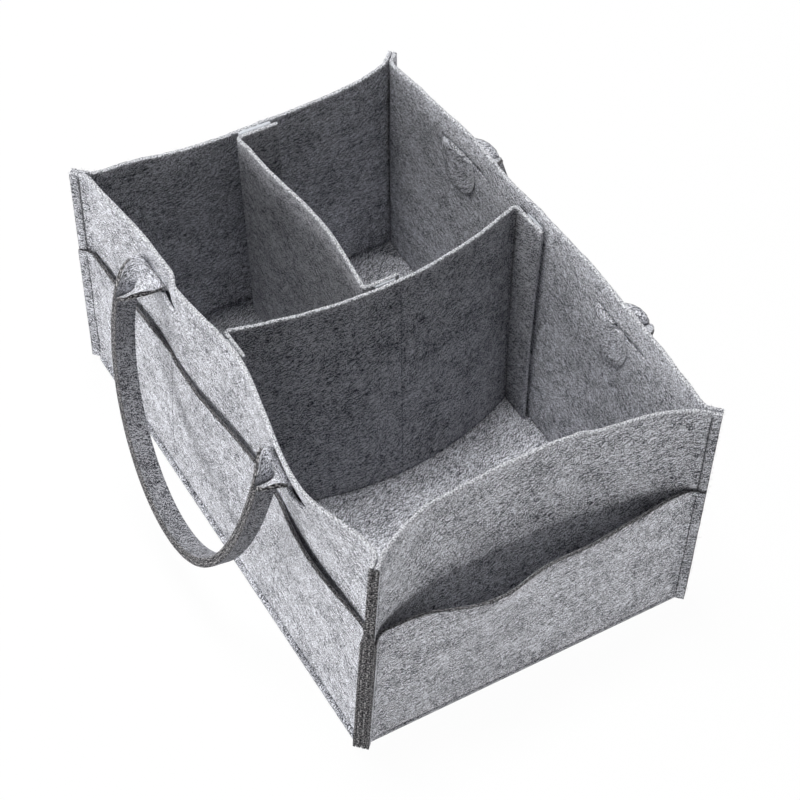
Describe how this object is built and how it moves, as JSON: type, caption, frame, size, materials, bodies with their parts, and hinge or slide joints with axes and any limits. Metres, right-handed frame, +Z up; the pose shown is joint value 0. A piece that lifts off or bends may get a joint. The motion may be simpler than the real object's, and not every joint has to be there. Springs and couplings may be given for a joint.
{
  "type": "felt diaper caddy",
  "caption": "Open-topped felt storage caddy with pockets around its outside, lift-out dividers and soft carrying handles that hang at its sides.",
  "frame": {"origin": "middle of the underside of the base panel", "axes": "+Z up, -Y toward the wide front pocket, +X toward the right side wall, the long side along Y"},
  "size_m": [0.3455, 0.4081, 0.1823],
  "materials": {
    "grey_felt": "needle-punched polyester felt in mixed light and dark grey fibres, matt and fuzzy at its cut edges",
    "hook_tape": "pale woven hook tape"
  },
  "bodies": {
    "root": {"base_panel": "grey_felt", "front_wall": "grey_felt", "back_wall": "grey_felt", "left_wall": "grey_felt", "right_wall": "grey_felt", "front_pocket": "grey_felt", "back_pocket": "grey_felt", "left_pocket": "grey_felt", "right_pocket": "grey_felt", "left_handle_back_end": "grey_felt", "left_handle_front_end": "grey_felt", "right_handle_back_end": "grey_felt", "right_handle_front_end": "grey_felt"},
    "left_handle": {"left_handle_loop": "grey_felt"},
    "right_handle": {"right_handle_loop": "grey_felt"},
    "cross_divider": {"cross_divider": "grey_felt", "cross_divider_left_tape": "hook_tape", "cross_divider_right_tape": "hook_tape"},
    "short_divider": {"short_divider": "grey_felt", "short_divider_front_tape": "hook_tape", "short_divider_back_tape": "hook_tape"}
  },
  "joints": [
    {"name": "left_handle_swing", "type": "hinge", "parent": "root", "child": "left_handle", "pos_m": [-0.1281, 0, 0.1615], "axis": [0, 1, 0], "range_deg": [0, 160]},
    {"name": "right_handle_swing", "type": "hinge", "parent": "root", "child": "right_handle", "pos_m": [0.1364, 0, 0.1615], "axis": [0, -1, 0], "range_deg": [0, 160]},
    {"name": "cross_divider_lift", "type": "slide", "parent": "root", "child": "cross_divider", "axis": [0, 0, 1], "range_m": [0, 0.19]},
    {"name": "short_divider_lift", "type": "slide", "parent": "root", "child": "short_divider", "axis": [0, 0, 1], "range_m": [0, 0.19]}
  ]
}
